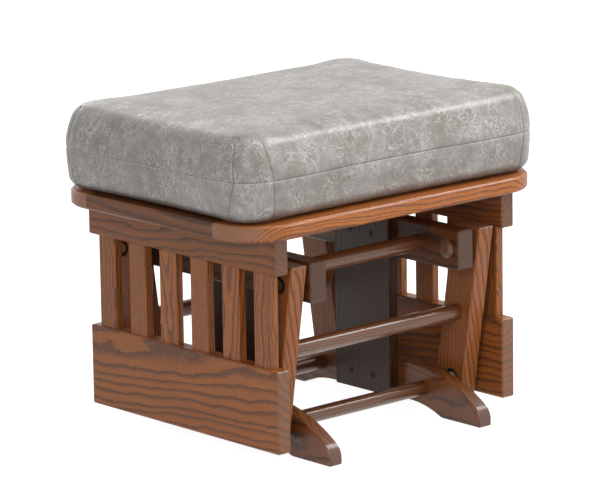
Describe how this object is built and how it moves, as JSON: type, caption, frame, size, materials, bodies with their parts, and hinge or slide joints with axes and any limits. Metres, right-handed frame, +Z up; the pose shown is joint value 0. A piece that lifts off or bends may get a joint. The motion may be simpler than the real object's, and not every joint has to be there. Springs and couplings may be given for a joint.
{
  "type": "glider ottoman",
  "caption": "Low wooden footstool whose slatted seat carriage with a thick loose cushion glides on four hanging arms over a standing base.",
  "frame": {"origin": "on the floor under the middle of the base", "axes": "+X along the cross dowels towards the right side, +Y towards the rear along the glide, +Z up"},
  "size_m": [0.5798, 0.459, 0.484],
  "materials": {
    "stained_oak": "satin lacquer over a brown stain",
    "plywood": "unfinished thin board",
    "raw_beech": "unfinished",
    "cushion_cover": "soft mottled grey leather-like cover",
    "zinc_steel": "zinc plated",
    "bearing_housing": "dark satin",
    "insert_brass": "plain"
  },
  "bodies": {
    "base": {"left_foot": "stained_oak", "left_base_rail": "stained_oak", "left_post": "stained_oak", "right_foot": "stained_oak", "right_base_rail": "stained_oak", "right_post": "stained_oak", "front_top_dowel": "stained_oak", "front_bottom_dowel": "stained_oak", "rear_top_dowel": "stained_oak", "rear_bottom_dowel": "stained_oak", "post_screws": "zinc_steel", "upper_pivot_bolts": "zinc_steel", "upper_pivot_buttons": "stained_oak", "upper_pivot_sleeves": "zinc_steel", "upper_pivot_washers": "zinc_steel", "upper_pivot_nuts": "zinc_steel"},
    "front_arms": {"front_left_arm": "stained_oak", "front_right_arm": "stained_oak", "front_arm_dowel": "stained_oak", "front_arm_bearings": "bearing_housing"},
    "rear_arms": {"rear_left_arm": "stained_oak", "rear_right_arm": "stained_oak", "rear_arm_dowel": "stained_oak", "rear_arm_bearings": "bearing_housing"},
    "seat": {"front_frame_board": "stained_oak", "rear_frame_board": "stained_oak", "left_frame_board": "stained_oak", "right_frame_board": "stained_oak", "seat_deck": "plywood", "frame_joint_dowels": "raw_beech", "frame_screws": "zinc_steel", "cushion": "cushion_cover", "left_panel_rail": "stained_oak", "left_skirt": "stained_oak", "right_panel_rail": "stained_oak", "right_skirt": "stained_oak", "left_slat_1": "stained_oak", "left_slat_2": "stained_oak", "left_slat_3": "stained_oak", "left_slat_4": "stained_oak", "left_slat_5": "stained_oak", "left_slat_6": "stained_oak", "right_slat_1": "stained_oak", "right_slat_2": "stained_oak", "right_slat_3": "stained_oak", "right_slat_4": "stained_oak", "right_slat_5": "stained_oak", "right_slat_6": "stained_oak", "lower_pivot_bolts": "zinc_steel", "lower_pivot_washers": "zinc_steel", "lower_pivot_sleeves": "zinc_steel", "lower_pivot_inserts": "insert_brass"}
  },
  "joints": [
    {"name": "front_swing", "type": "hinge", "parent": "base", "child": "front_arms", "pos_m": [0, -0.1702, 0.2565], "axis": [1, 0, 0], "range_deg": [-15, 15]},
    {"name": "rear_swing", "type": "hinge", "parent": "base", "child": "rear_arms", "pos_m": [0, 0.1702, 0.2565], "axis": [1, 0, 0], "range_deg": [-15, 15]},
    {"name": "seat_tilt", "type": "hinge", "parent": "front_arms", "child": "seat", "pos_m": [0, -0.138, 0.0543], "axis": [1, 0, 0], "range_deg": [-18.5, 18.5]}
  ],
  "couplings": [
    {"joint": "rear_swing", "follows": "front_swing", "ratio": 0.9984},
    {"joint": "seat_tilt", "follows": "front_swing", "ratio": -1.2301}
  ]
}
